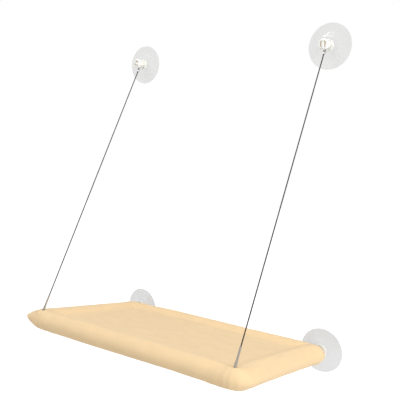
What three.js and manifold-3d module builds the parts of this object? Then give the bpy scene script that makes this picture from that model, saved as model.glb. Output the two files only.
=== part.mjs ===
// Window hammock for a cat: a padded fabric bed that hangs on four suction cups.
// Millimetres, +Z up, the bed's front towards -Y. The glass is the plane y = 0, and z = 0 is the
// height of the rear rail's axis, about which the bed folds up against the glass.
import * as THREE from 'three';
import { mergeVertices } from 'three/addons/utils/BufferGeometryUtils.js';
import Module from 'manifold-3d';

const wasm = await Module();
wasm.setup();

// Shared clearances
const fit = 0.3;
const overrun = 2;

// Bed: the frame's rail axes, the padded roll round them and the tilt at rest
const bedHalfWidth = 245;
const bedDepth = 282;
const bedTilt = 0.14;
const railToGlass = 34;
const rollRadius = 20.5;
const rollCornerRadius = 11.5;

// Frame tubes and their moulded corners
const railRadius = 12.5;
const railWall = 1.6;
const cornerRadius = 15;
const cornerBend = 20;
const socketDepth = 18;

// Fabric cover, foam and seat pad
const coverThickness = 1.2;
const foamClearance = 0.9;
const dishInset = 38;
const dishTop = 8;
const dishMiddleInset = 64;
const dishMiddleTop = 7;
const dishEndInset = 90;
const dishEndTop = 6.4;
const padInset = 20.5;
const padEdgeRound = 7;
const cornerGrowShare = 0.35;
const dishHandleShare = 0.42;
const dishCurveShares = [0.4, 0.75, 1];
const rollPastCrown = THREE.MathUtils.degToRad(128);

// Zip under the rear edge of the cover
const zipEndInset = 55;
const zipInset = 42;
const zipTapeWidth = 22;
const zipTapeThickness = 0.8;
const zipTeethWidth = 4.2;
const zipTeethHeight = 1.6;
const sliderLength = 12;
const sliderWidth = 9;
const sliderHeight = 4.2;
const pullLength = 22;
const pullWidth = 5;
const pullThickness = 1.2;
const pullHoleRadius = 1.3;

// Suction cups
const cupRadius = 45;
const cupLandWidth = 15;
const cupDomeDepth = 1.6;
const cupRimThickness = 1.4;
const cupBossRadius = 11;
const cupHeight = 6.5;
const upperCupHeight = 610;
const cableInset = 1.5;
const swivelOutset = 4;

// Threaded studs and the nuts on them
const studRadius = 3;
const flangeRadius = 8;
const flangeThickness = 1.5;
const flangeHeight = 2.9;
const upperCollarRadius = 12;
const lowerCollarRadius = 14.5;
const upperCollarThickness = 5.5;
const lowerCollarThickness = 3.3;
const collarNotches = 20;
const collarNotchDepth = 0.8;
const barrelRadius = 4.8;
const barrelLength = 12;
const capRadius = 11;
const capSkirt = 3;
const capHeight = 9;
const capChamfer = 0.8;
const capBoreDepth = 4;
const capPocketRadius = 7.4;
const capPocketFloor = 5;
const capGripWidth = 3.2;
const capFlutes = 10;
const capFluteRadius = 1.4;

// Swivel eyes behind the rear corners, and their pins
const eyeRadius = 7.4;
const eyeWidth = 6.4;
const pinRadius = 3;
const earRadius = 8;
const earThickness = 3.2;
const swivelClearance = 0.5;
const foldRange = THREE.MathUtils.degToRad(74);

// Steel cables
const cableRadius = 1.2;
const cableJointDrop = 12;
const cableSplitShare = 0.749;
const cableHoleForward = 4;
const cableHoleRadius = 3.4;
const eyeLegSpread = 1.35;
const eyeTangentAngle = THREE.MathUtils.degToRad(42);
const crimpGap = 0.8;
const crimpLength = 8;
const crimpWidth = 6;
const crimpDepth = 4;
const sleeveLength = 34;
const sleeveTopRadius = 1.8;
const sleeveNeckRadius = 2.1;
const sleeveFootRadius = 2.9;
const sleeveFootRound = 2;
const sleeveBulb = 8.5;
const sleeveShoulder = 2.5;
const stopRadius = 3;
const stopLength = 6.5;
const stopDepth = 14.5;
const cableBossRadius = 4.6;
const cableBossDepth = 12.5;
const cableBossEnd = 21.5;

// Facet counts
const roundFacets = 28;
const tubeFacets = 20;
const foamFacets = 20;
const smallFacets = 12;
const cordFacets = 8;
const ringCornerSteps = 5;
const ringLongSteps = 6;
const ringShortSteps = 3;

// Where things meet, worked out from the sizes above
const zipHalfLength = bedHalfWidth - zipEndInset;
const upperCupX = bedHalfWidth - cableInset;
const lowerCupX = bedHalfWidth + swivelOutset;
const cableHoleUp = Math.sqrt(rollRadius ** 2 - cableHoleForward ** 2);
const cupTop = cupHeight + fit;
const boreRadius = studRadius + fit;
const upperBarrelEnd = cupTop + upperCollarThickness + barrelLength;
const cableEyeHeight = upperBarrelEnd - cableRadius;
const cableTop = new THREE.Vector2(-cableEyeHeight, upperCupHeight - cableJointDrop);
const cableHole = bedPoint(bedDepth + cableHoleForward, cableHoleUp);
const cableLength = cableTop.distanceTo(cableHole);
const cableUpperStretch = cableLength * cableSplitShare;
const cableLean = Math.atan2(cableTop.x - cableHole.x, cableTop.y - cableHole.y);

// A point of the bed at rest, as (y, z): so far forward of the rear rail and so far up from it
function bedPoint(forward, up) {
  const y = -railToGlass - forward * Math.cos(bedTilt) + up * Math.sin(bedTilt);
  const z = forward * Math.sin(bedTilt) + up * Math.cos(bedTilt);
  return new THREE.Vector2(y, z);
}

// Materials
const clearPvc = material(0xe3e2dd, 0.25, 0, 0.5);
const steel = material(0xb9bbbd, 0.3, 0.9);
const creamPlastic = material(0xe9e3d2, 0.5, 0);
const whitePlastic = material(0xf2f2ee, 0.35, 0);
const cableSteel = material(0x6f6a63, 0.4, 0.8);
const sleevePvc = material(0x9a9690, 0.5, 0);
const railPvc = material(0xe6e6e2, 0.4, 0);
const cornerPlastic = material(0xd9d9d4, 0.45, 0);
const foam = material(0xf4efdc, 0.95, 0);
const fabric = material(0xedd0a0, 0.9, 0);
const zipCloth = material(0xd8b888, 0.9, 0);
const zipMetal = material(0xb08d57, 0.35, 0.85);

function material(color, roughness, metalness, opacity = 1) {
  return new THREE.MeshStandardMaterial({ color, roughness, metalness, opacity, transparent: opacity < 1 });
}

function add(parent, name, geometry, look) {
  const mesh = new THREE.Mesh(geometry, look);
  mesh.name = name;
  parent.add(mesh);
  return mesh;
}

function addGroup(parent, x, y, z, tiltX) {
  const group = new THREE.Group();
  group.position.set(x, y, z);
  group.rotation.x = tiltX;
  parent.add(group);
  return group;
}

// A closed solid from any closed three.js geometry, turned to face outward
function solid(geometry) {
  const bare = geometry.clone();
  bare.deleteAttribute('normal');
  bare.deleteAttribute('uv');
  const merged = mergeVertices(bare);
  const positions = merged.attributes.position.array;
  const kept = [];
  let volume = 0;
  const a = new THREE.Vector3();
  const b = new THREE.Vector3();
  const c = new THREE.Vector3();
  for (let i = 0; i < merged.index.count; i += 3) {
    const [p, q, r] = merged.index.array.slice(i, i + 3);
    if (p === q || q === r || r === p) continue;
    kept.push(p, q, r);
    a.fromArray(positions, 3 * p);
    b.fromArray(positions, 3 * q);
    c.fromArray(positions, 3 * r);
    volume += a.dot(b.cross(c));
  }
  if (volume < 0) kept.reverse();
  const triVerts = new Uint32Array(kept);
  const vertProperties = new Float32Array(positions);
  return new wasm.Manifold(new wasm.Mesh({ numProp: 3, vertProperties, triVerts }));
}

function geometryOf(body) {
  const mesh = body.getMesh();
  const geometry = new THREE.BufferGeometry();
  geometry.setAttribute('position', new THREE.BufferAttribute(mesh.vertProperties, 3));
  geometry.setIndex(new THREE.BufferAttribute(mesh.triVerts, 1));
  geometry.computeVertexNormals();
  return geometry;
}

// A profile of [radius, height] points turned about the Y axis
function revolve(points, facets) {
  const profile = points.map(([radius, height]) => new THREE.Vector2(radius, height));
  return solid(new THREE.LatheGeometry(profile, facets));
}

// A rod about the Y axis, from one height to another
function rod(radius, from, to, facets) {
  return revolve([[0, from], [radius, from], [radius, to], [0, to]], facets);
}

// The same turned to lie along X, from the left end to the right
function rodAlongX(radius, from, to, facets) {
  return rod(radius, from, to, facets).rotate([0, 0, -90]);
}

function hollowRod(inner, outer, from, to, facets) {
  return revolve([[inner, from], [outer, from], [outer, to], [inner, to], [inner, from]], facets);
}

function box(minimum, maximum) {
  const size = maximum.map((value, axis) => value - minimum[axis]);
  const middle = maximum.map((value, axis) => (value + minimum[axis]) / 2);
  return solid(new THREE.BoxGeometry(...size)).translate(middle);
}

// A straight tube of the cable's section, hanging from one depth to a lower one
function cableTube(from, to, steps) {
  const section = new THREE.Shape();
  section.absarc(0, 0, cableRadius, 0, 2 * Math.PI);
  const path = new THREE.LineCurve3(new THREE.Vector3(0, 0, -from), new THREE.Vector3(0, 0, -to));
  return new THREE.ExtrudeGeometry(section, { steps, curveSegments: cordFacets / 2, extrudePath: path });
}

// Suction cup with a sealing land, a shallow vacuum dome and a pocket for the stud's flange
function suctionCup() {
  const landStart = cupRadius - cupLandWidth;
  const pocketTop = flangeHeight + flangeThickness + fit;
  const undersideShares = [0, 0.5, 1];
  const underside = undersideShares.map((share) => [
    landStart * share,
    cupDomeDepth * Math.cos((share * Math.PI) / 2),
  ]);
  const topShares = [[0.95, 0.24], [0.8, 0.3], [0.64, 0.4], [0.54, 0.56], [0.46, 0.78], [0.36, 0.94]];
  return revolve([
    ...underside,
    [cupRadius, 0],
    [cupRadius, cupRimThickness],
    ...topShares.map(([across, up]) => [cupRadius * across, cupHeight * up]),
    [cupBossRadius, cupHeight],
    [boreRadius, cupHeight],
    [boreRadius, pocketTop],
    [flangeRadius + fit, pocketTop],
    [flangeRadius + fit, flangeHeight - fit],
    [0, flangeHeight - fit],
  ], roundFacets);
}

function studShank(end) {
  const flangeTop = flangeHeight + flangeThickness;
  return revolve([
    [0, flangeHeight],
    [flangeRadius, flangeHeight],
    [flangeRadius, flangeTop],
    [studRadius, flangeTop],
    [studRadius, end],
    [0, end],
  ], tubeFacets);
}

// Knurled disc: the rim has a notch between each two teeth
function knurledDisc(radius, from, thickness) {
  const rim = new THREE.Shape();
  const teethShares = [[0, 1], [0.45, 1], [0.62, 0], [0.83, 0]];
  for (let tooth = 0; tooth < collarNotches; tooth++) {
    for (const [turnShare, outShare] of teethShares) {
      const angle = ((tooth + turnShare) * 2 * Math.PI) / collarNotches;
      const reach = radius - collarNotchDepth * (1 - outShare);
      const point = [reach * Math.cos(angle), reach * Math.sin(angle)];
      if (tooth === 0 && turnShare === 0) rim.moveTo(...point);
      else rim.lineTo(...point);
    }
  }
  const disc = solid(new THREE.ExtrudeGeometry(rim, { depth: thickness, bevelEnabled: false }));
  const bore = rod(boreRadius, from - overrun, from + thickness + overrun, tubeFacets);
  return disc.rotate([-90, 0, 0]).translate([0, from, 0]).subtract(bore);
}

function upperCollar() {
  const barrelStart = cupTop + upperCollarThickness - fit;
  const barrel = hollowRod(boreRadius, barrelRadius, barrelStart, upperBarrelEnd, tubeFacets);
  return knurledDisc(upperCollarRadius, cupTop, upperCollarThickness).add(barrel);
}

// Domed cap nut with finger flutes round its skirt and a blind bore for the stud; two pockets in
// its face leave a grip bar between them
function capNut(gripTurn) {
  const foot = upperBarrelEnd + fit;
  const domeShares = [[1, 0], [0.97, 0.45], [0.86, 0.8], [0.66, 0.95], [0, 1]];
  const cap = revolve([
    [0, foot + capBoreDepth],
    [boreRadius, foot + capBoreDepth],
    [boreRadius, foot],
    [capRadius - capChamfer, foot],
    [capRadius, foot + capChamfer],
    ...domeShares.map(([across, up]) => [
      capRadius * across,
      foot + capSkirt + (capHeight - capSkirt) * up,
    ]),
  ], roundFacets);
  let flutes = cap;
  for (let index = 0; index < capFlutes; index++) {
    const angle = (index * 2 * Math.PI) / capFlutes;
    const reach = capRadius + capFluteRadius / 2;
    const cutter = rod(capFluteRadius, foot - overrun, foot + capHeight + overrun, cordFacets)
      .translate([reach * Math.cos(angle), 0, reach * Math.sin(angle)]);
    flutes = flutes.subtract(cutter);
  }
  const pocketFloor = foot + capPocketFloor;
  const pocketTop = foot + capHeight + overrun;
  const bar = box(
    [-capGripWidth / 2, pocketFloor - overrun, -capRadius],
    [capGripWidth / 2, pocketTop + overrun, capRadius],
  );
  const pockets = rod(capPocketRadius, pocketFloor, pocketTop, roundFacets).subtract(bar);
  return flutes.subtract(pockets.rotate([0, gripTurn, 0]));
}

// Stud that ends in an eye round the pin of a rear corner
function swivelStud() {
  const disc = rodAlongX(eyeRadius, -eyeWidth / 2, eyeWidth / 2, tubeFacets).translate([0, railToGlass, 0]);
  const bore = rodAlongX(pinRadius + fit, -eyeWidth, eyeWidth, tubeFacets).translate([0, railToGlass, 0]);
  return studShank(railToGlass - eyeRadius / 2).add(disc).subtract(bore);
}

// One cup with its stud and nuts; its local Y axis points from the glass into the room
function addCup(parent, side, level, x, z, stud, collar) {
  const group = addGroup(parent, x, 0, z, Math.PI);
  add(group, `${level}_cup_${side}`, geometryOf(suctionCup()), clearPvc);
  add(group, `${level}_stud_${side}`, geometryOf(stud), steel);
  add(group, `${level}_collar_${side}`, geometryOf(collar), creamPlastic);
  return group;
}

// Cable eye in the groove of an upper hub: up one leg, over the barrel and down the other leg
function cableEye() {
  const loopRadius = barrelRadius + fit + cableRadius;
  const points = [new THREE.Vector3(-eyeLegSpread, cableEyeHeight, cableJointDrop)];
  const arcSteps = 10;
  for (let step = 0; step <= arcSteps; step++) {
    const angle = Math.PI + eyeTangentAngle - ((Math.PI + 2 * eyeTangentAngle) * step) / arcSteps;
    points.push(new THREE.Vector3(loopRadius * Math.cos(angle), cableEyeHeight, -loopRadius * Math.sin(angle)));
  }
  points.push(new THREE.Vector3(eyeLegSpread, cableEyeHeight, cableJointDrop));
  const section = new THREE.Shape();
  section.absarc(0, 0, cableRadius, 0, 2 * Math.PI);
  const path = new THREE.CatmullRomCurve3(points);
  return new THREE.ExtrudeGeometry(section, { steps: 30, curveSegments: cordFacets / 2, extrudePath: path });
}

// Crimp ferrule: a flattened sleeve pressed on the cable under the eye
function crimp() {
  const section = new THREE.Shape();
  const flat = (crimpWidth - crimpDepth) / 2;
  section.absarc(flat, 0, crimpDepth / 2, -Math.PI / 2, Math.PI / 2);
  section.absarc(-flat, 0, crimpDepth / 2, Math.PI / 2, (3 * Math.PI) / 2);
  const body = new THREE.ExtrudeGeometry(section, { depth: crimpLength, curveSegments: cordFacets, bevelEnabled: false });
  return body.translate(0, 0, -crimpGap - crimpLength);
}

// Tapered sleeve on the lowest stretch of a cable, rounded at its foot
function cableSleeve() {
  const top = -(cableLength - sleeveLength);
  const foot = -(cableLength - fit);
  const bore = cableRadius + fit;
  return revolve([
    [bore, top],
    [sleeveTopRadius, top],
    [sleeveNeckRadius, foot + sleeveBulb + sleeveShoulder],
    [sleeveFootRadius, foot + sleeveBulb],
    [sleeveFootRadius, foot + sleeveFootRound],
    [sleeveFootRadius - sleeveFootRound / 4, foot + sleeveFootRound / 4],
    [bore + fit, foot],
    [bore, foot],
    [bore, top],
  ], smallFacets).rotate([90, 0, 0]);
}

// Plan outline of the bed at an inset from the rail axes, as a ring with a fixed number of points
function planRing(inset, height) {
  const halfX = bedHalfWidth - inset;
  const halfY = bedDepth / 2 - inset;
  const radius = inset > 0 ? rollCornerRadius + cornerGrowShare * inset : rollCornerRadius - inset;
  const ring = [];
  const quarters = [[1, 1], [-1, 1], [-1, -1], [1, -1]];
  quarters.forEach(([signX, signY], quarter) => {
    const middle = new THREE.Vector3(signX * (halfX - radius), signY * (halfY - radius), height);
    for (let step = 0; step <= ringCornerSteps; step++) {
      const angle = ((quarter + step / ringCornerSteps) * Math.PI) / 2;
      ring.push(new THREE.Vector3(Math.cos(angle), Math.sin(angle), 0).multiplyScalar(radius).add(middle));
    }
    const [nextX, nextY] = quarters[(quarter + 1) % quarters.length];
    const start = ring[ring.length - 1];
    const endAngle = ((quarter + 1) * Math.PI) / 2;
    const end = new THREE.Vector3(
      nextX * (halfX - radius) + radius * Math.cos(endAngle),
      nextY * (halfY - radius) + radius * Math.sin(endAngle),
      height,
    );
    const steps = quarter % 2 === 0 ? ringLongSteps : ringShortSteps;
    for (let step = 1; step < steps; step++) ring.push(start.clone().lerp(end, step / steps));
  });
  return ring.map((point) => point.add(new THREE.Vector3(0, -bedDepth / 2, 0)));
}

// A closed body through a stack of rings, closed at both ends to the ring's middle
function skinRings(rings) {
  const count = rings[0].length;
  const middle = (ring) => ring.reduce((sum, point) => sum.add(point), new THREE.Vector3()).divideScalar(count);
  const points = [...rings.flat(), middle(rings[0]), middle(rings[rings.length - 1])];
  const index = [];
  const firstMiddle = points.length - 2;
  const lastMiddle = points.length - 1;
  const lastRing = (rings.length - 1) * count;
  for (let i = 0; i < count; i++) {
    const next = (i + 1) % count;
    for (let ring = 0; ring < rings.length - 1; ring++) {
      const low = ring * count;
      const high = low + count;
      index.push(low + i, low + next, high + next, low + i, high + next, high + i);
    }
    index.push(firstMiddle, next, i, lastMiddle, lastRing + i, lastRing + next);
  }
  const geometry = new THREE.BufferGeometry();
  geometry.setAttribute('position', new THREE.Float32BufferAttribute(points.flatMap((point) => point.toArray()), 3));
  geometry.setIndex(index);
  return solid(geometry);
}

// Cross-section of the cover from its bottom seam, round the roll and into the dish: each point
// has its inset from the rail axes, its height and its outward direction
function coverProfile() {
  const profile = [];
  const arcSteps = 8;
  for (let step = 0; step <= arcSteps; step++) {
    const angle = -Math.PI / 2 + ((rollPastCrown + Math.PI / 2) * step) / arcSteps;
    const outward = new THREE.Vector2(-Math.cos(angle), Math.sin(angle));
    profile.push({ place: outward.clone().multiplyScalar(rollRadius), outward });
  }
  const start = profile[profile.length - 1].place;
  const end = new THREE.Vector2(dishInset, dishTop);
  const handle = (dishInset - start.x) * dishHandleShare;
  const leaving = new THREE.Vector2(Math.sin(rollPastCrown), Math.cos(rollPastCrown)).multiplyScalar(handle);
  const curve = new THREE.CubicBezierCurve(
    start, start.clone().add(leaving), end.clone().sub(new THREE.Vector2(handle, 0)), end,
  );
  for (const share of dishCurveShares) {
    const along = curve.getTangent(share);
    profile.push({ place: curve.getPoint(share), outward: new THREE.Vector2(-along.y, along.x) });
  }
  const up = new THREE.Vector2(0, 1);
  profile.push({ place: new THREE.Vector2(dishMiddleInset, dishMiddleTop), outward: up });
  profile.push({ place: new THREE.Vector2(dishEndInset, dishEndTop), outward: up });
  return profile;
}

// The cover's top: a fabric shell round the roll and over the seat, with slots for the swivel studs
// and holes for the cables
function coverTop() {
  const profile = coverProfile();
  const outer = profile.map(({ place }) => planRing(place.x, place.y));
  const inner = profile.map(({ place, outward }) => {
    const inside = place.clone().addScaledVector(outward, -coverThickness);
    return planRing(inside.x, inside.y);
  });
  let shell = skinRings([...inner.reverse(), ...outer]);
  for (const side of [-1, 1]) {
    const slot = swivelSector(rollRadius + coverThickness + overrun, studRadius + 2 * swivelClearance);
    const hole = alongCable(rod(cableHoleRadius, -rollRadius / 2, rollRadius / 2, smallFacets), side);
    shell = shell.subtract(slot.translate([side * lowerCupX, 0, 0])).subtract(hole);
  }
  return shell;
}

// What a swivel stud sweeps, seen from the bed, while the bed folds: a sector about the X axis,
// widened on both sides by half the stud and a clearance
function swivelSector(reach, halfWidth) {
  const side = studRadius + swivelClearance;
  const outer = Math.hypot(reach, side);
  const spread = Math.atan2(side, reach);
  const from = bedTilt;
  const to = bedTilt + foldRange;
  const sector = new THREE.Shape();
  const arcSteps = 8;
  sector.moveTo(side * Math.sin(from), -side * Math.cos(from));
  for (let step = 0; step <= arcSteps; step++) {
    const angle = from - spread + ((to - from + 2 * spread) * step) / arcSteps;
    sector.lineTo(outer * Math.cos(angle), outer * Math.sin(angle));
  }
  sector.lineTo(-side * Math.sin(to), side * Math.cos(to));
  const wedge = solid(new THREE.ExtrudeGeometry(sector, { depth: 2 * halfWidth, bevelEnabled: false }));
  return wedge.rotate([90, 0, 90]).translate([-halfWidth, 0, 0]);
}

// Places something built about the Y axis in a front corner, its +Y along the cable and its
// zero at the cable's hole in the cover
function alongCable(body, side) {
  const turn = THREE.MathUtils.radToDeg(Math.PI / 2 - (cableLean - bedTilt));
  return body.rotate([turn, 0, 0]).translate([side * upperCupX, -bedDepth - cableHoleForward, cableHoleUp]);
}

function coverBase() {
  const ring = planRing(fit, 0).map((point) => new THREE.Vector2(point.x, point.y));
  const sheet = new THREE.ExtrudeGeometry(new THREE.Shape(ring), { depth: coverThickness, bevelEnabled: false });
  return solid(sheet).translate([0, 0, -rollRadius]);
}

// Seat pad: a foam slab with drawn-in sides, whose top follows the dish of the cover
function seatPad() {
  const bottom = -rollRadius + coverThickness + fit;
  const underCover = coverThickness + 2 * fit;
  const sideTop = dishMiddleTop - underCover - padEdgeRound / 2;
  return skinRings([
    planRing(padInset + padEdgeRound, bottom),
    planRing(padInset + padEdgeRound / 4, bottom + padEdgeRound / 4),
    planRing(padInset, bottom + padEdgeRound),
    planRing(padInset, sideTop),
    planRing(padInset + padEdgeRound / 4, sideTop + padEdgeRound / 4),
    planRing(padInset + padEdgeRound, dishMiddleTop - underCover),
    planRing(dishEndInset, dishEndTop - underCover),
  ]);
}

// Moulded corner of the frame: a round bend with a socket for each tube, at the rear right
function cornerBody() {
  const middle = new THREE.Vector3(bedHalfWidth - cornerBend, -cornerBend, 0);
  const arc = [];
  const arcSteps = 6;
  for (let step = 0; step <= arcSteps; step++) {
    const angle = Math.PI / 2 - ((Math.PI / 2) * step) / arcSteps;
    arc.push(new THREE.Vector3(Math.cos(angle), Math.sin(angle), 0).multiplyScalar(cornerBend).add(middle));
  }
  const points = [
    new THREE.Vector3(middle.x - socketDepth, 0, 0),
    new THREE.Vector3(middle.x - socketDepth / 2, 0, 0),
    ...arc,
    new THREE.Vector3(bedHalfWidth, middle.y - socketDepth / 2, 0),
    new THREE.Vector3(bedHalfWidth, middle.y - socketDepth, 0),
  ];
  const section = new THREE.Shape();
  section.absarc(0, 0, cornerRadius, 0, 2 * Math.PI);
  const path = new THREE.CatmullRomCurve3(points);
  const bend = new THREE.ExtrudeGeometry(section, { steps: 12, curveSegments: tubeFacets / 2, extrudePath: path });
  const socket = railRadius + fit;
  const across = rodAlongX(socket, middle.x - socketDepth - overrun, middle.x, tubeFacets);
  const along = rod(socket, middle.y - socketDepth - overrun, middle.y, tubeFacets)
    .translate([bedHalfWidth, 0, 0]);
  return solid(bend).subtract(across).subtract(along);
}

// Rear corner: two ears hold the pin, and a pocket and slot clear the swivel eye as the bed folds
function rearCorner() {
  let body = cornerBody();
  const gap = eyeWidth / 2 + fit;
  for (const [from, to] of [[-gap - earThickness, -gap], [gap, gap + earThickness]]) {
    const ear = rodAlongX(earRadius, lowerCupX + from, lowerCupX + to, tubeFacets)
      .add(box([lowerCupX + from, -cornerRadius, -earRadius], [lowerCupX + to, 0, earRadius]));
    body = body.add(ear);
  }
  const pocket = rodAlongX(eyeRadius + swivelClearance, lowerCupX - gap, lowerCupX + gap, tubeFacets);
  const slot = swivelSector(cornerRadius + cornerBend, gap).translate([lowerCupX, 0, 0]);
  const outer = gap + earThickness + fit;
  const pinBore = rodAlongX(pinRadius + fit, lowerCupX - outer, lowerCupX + outer, tubeFacets);
  return body.subtract(pocket).subtract(slot).subtract(pinBore);
}

// Front corner: a boss takes the cable's end, which a stop holds in a counterbore from below
function frontCorner() {
  const body = cornerBody().mirror([0, 1, 0]).translate([0, -bedDepth, 0]);
  const boss = alongCable(rod(cableBossRadius, -cableBossEnd, -cableBossDepth, tubeFacets), 1);
  const bore = alongCable(rod(cableRadius + fit, -cableBossEnd, overrun, smallFacets), 1);
  const seat = -stopDepth + fit;
  const counterbore = alongCable(rod(stopRadius + fit, -cableBossEnd - cornerRadius, seat, smallFacets), 1);
  const clearance = alongCable(rod(stopRadius + fit, -cableBossDepth, rollRadius, smallFacets), 1);
  return body.add(boss).subtract(bore).subtract(counterbore).subtract(clearance);
}

function cableStop() {
  const foot = -stopDepth - stopLength;
  const bore = cableRadius + fit;
  const wall = stopRadius - bore;
  return revolve([
    [0, foot],
    [stopRadius, foot],
    [stopRadius, -stopDepth],
    [bore, -stopDepth],
    [bore, foot + wall],
    [0, foot + wall],
  ], smallFacets);
}

function zipStrip() {
  const top = -rollRadius - fit;
  const tape = box(
    [-zipHalfLength, -zipInset - zipTapeWidth / 2, top - zipTapeThickness],
    [zipHalfLength, -zipInset + zipTapeWidth / 2, top],
  );
  const teeth = box(
    [-zipHalfLength, -zipInset - zipTeethWidth / 2, top - zipTapeThickness - zipTeethHeight],
    [zipHalfLength, -zipInset + zipTeethWidth / 2, top - zipTapeThickness / 2],
  );
  return tape.add(teeth);
}

// Zip slider at the right end of its teeth, with its pull tab hanging back along them
function zipSlider() {
  const top = -rollRadius - 2 * fit - zipTapeThickness;
  const right = zipHalfLength - fit;
  const left = right - sliderLength;
  const body = box(
    [left, -zipInset - sliderWidth / 2, top - sliderHeight],
    [right, -zipInset + sliderWidth / 2, top],
  );
  const channelHalf = zipTeethWidth / 2 + fit;
  const channel = box(
    [left - overrun, -zipInset - channelHalf, top - zipTeethHeight],
    [right + overrun, -zipInset + channelHalf, top + overrun],
  );
  const pull = box(
    [left - pullLength, -zipInset - pullWidth / 2, top - sliderHeight],
    [left + sliderLength / 2, -zipInset + pullWidth / 2, top - sliderHeight + pullThickness],
  );
  const hole = rod(pullHoleRadius, -sliderHeight, sliderHeight, cordFacets).rotate([90, 0, 0])
    .translate([left - pullLength + pullWidth / 2, -zipInset, top - sliderHeight]);
  return body.subtract(channel).add(pull).subtract(hole);
}

const hammock = new THREE.Group();
const sides = [['left', -1], ['right', 1]];

// Upper cups, each with its cap nut and the cable's eye in the groove under it
const gripTurns = { left: 60, right: 0 };
for (const [side, sign] of sides) {
  const stud = studShank(upperBarrelEnd + capBoreDepth - fit);
  const group = addCup(hammock, side, 'upper', sign * upperCupX, upperCupHeight, stud, upperCollar());
  add(group, `cap_nut_${side}`, geometryOf(capNut(gripTurns[side])), whitePlastic);
  add(group, `cable_eye_${side}`, geometryOf(solid(cableEye())), cableSteel);
}

// Lower cups, whose studs end in eyes round the pins of the rear corners
for (const [side, sign] of sides) {
  const collar = knurledDisc(lowerCollarRadius, cupTop, lowerCollarThickness);
  addCup(hammock, side, 'lower', sign * lowerCupX, 0, swivelStud(), collar);
}

// Cables, taut between the upper hubs and the bed's front corners
for (const [side, sign] of sides) {
  const group = addGroup(hammock, sign * upperCupX, cableTop.x, cableTop.y, -cableLean);
  const lowerStart = cableUpperStretch + fit;
  add(group, `cable_crimp_${side}`, geometryOf(solid(crimp())), steel);
  const upper = cableTube(crimpGap + crimpLength + fit, cableUpperStretch, 24);
  add(group, `cable_upper_${side}`, geometryOf(solid(upper)), cableSteel);
  add(group, `cable_lower_${side}`, geometryOf(solid(cableTube(lowerStart, cableLength, 8))), cableSteel);
  add(group, `cable_sleeve_${side}`, geometryOf(cableSleeve()), sleevePvc);
}

// Bed, tilted up towards its front
const bed = addGroup(hammock, 0, -railToGlass, 0, -bedTilt);
const railEnd = bedHalfWidth - cornerBend - fit;
const railBore = railRadius - railWall;
const crossRail = hollowRod(railBore, railRadius, -railEnd, railEnd, tubeFacets).rotate([0, 0, -90]);
add(bed, 'rear_rail', geometryOf(crossRail), railPvc);
add(bed, 'front_rail', geometryOf(crossRail.translate([0, -bedDepth, 0])), railPvc);
const sideRail = hollowRod(railBore, railRadius, -bedDepth + cornerBend + fit, -cornerBend - fit, tubeFacets);
const foamOuter = rollRadius - coverThickness - foamClearance;
const foamInner = railRadius + fit;
const foamEnd = bedHalfWidth - cornerBend - socketDepth - fit;
const crossFoam = hollowRod(foamInner, foamOuter, -foamEnd, foamEnd, foamFacets).rotate([0, 0, -90]);
const foamRun = cornerBend + socketDepth + fit;
const sideFoam = hollowRod(foamInner, foamOuter, -bedDepth + foamRun, -foamRun, foamFacets);
for (const [side, sign] of sides) {
  add(bed, `side_rail_${side}`, geometryOf(sideRail.translate([sign * bedHalfWidth, 0, 0])), railPvc);
  add(bed, `side_foam_${side}`, geometryOf(sideFoam.translate([sign * bedHalfWidth, 0, 0])), foam);
  const mirrored = (body) => (sign > 0 ? body : body.mirror([1, 0, 0]));
  add(bed, `rear_corner_${side}`, geometryOf(mirrored(rearCorner())), cornerPlastic);
  add(bed, `front_corner_${side}`, geometryOf(mirrored(frontCorner())), cornerPlastic);
  const pinHalf = eyeWidth / 2 + fit + earThickness;
  const pin = rodAlongX(pinRadius, sign * lowerCupX - pinHalf, sign * lowerCupX + pinHalf, smallFacets);
  add(bed, `swivel_pin_${side}`, geometryOf(pin), steel);
  const tailEnd = -stopDepth - stopLength + stopRadius - cableRadius;
  const tail = alongCable(rod(cableRadius, tailEnd, -fit, cordFacets), sign);
  add(bed, `cable_tail_${side}`, geometryOf(tail), cableSteel);
  add(bed, `cable_stop_${side}`, geometryOf(alongCable(cableStop(), sign)), steel);
}
add(bed, 'rear_foam', geometryOf(crossFoam), foam);
add(bed, 'front_foam', geometryOf(crossFoam.translate([0, -bedDepth, 0])), foam);
add(bed, 'seat_pad', geometryOf(seatPad()), foam);
add(bed, 'cover_top', geometryOf(coverTop()), fabric);
add(bed, 'cover_base', geometryOf(coverBase()), fabric);
add(bed, 'zip_strip', geometryOf(zipStrip()), zipCloth);
add(bed, 'zip_slider', geometryOf(zipSlider()), zipMetal);

export default hammock;
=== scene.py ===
# Window hammock: the looks of the padded bed, its cables, hubs and suction cups.
# Metres, +Z up, the bed's front towards -Y. The glass is the plane y = 0, and z = 0 is the height
# of the rear rail's axis.
from math import atan2, copysign, cos, exp, hypot, pi, radians, sin, sqrt, tan
from typing import NamedTuple

import bmesh
import bpy
from mathutils import Matrix, Vector, noise
from mathutils.kdtree import KDTree


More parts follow.
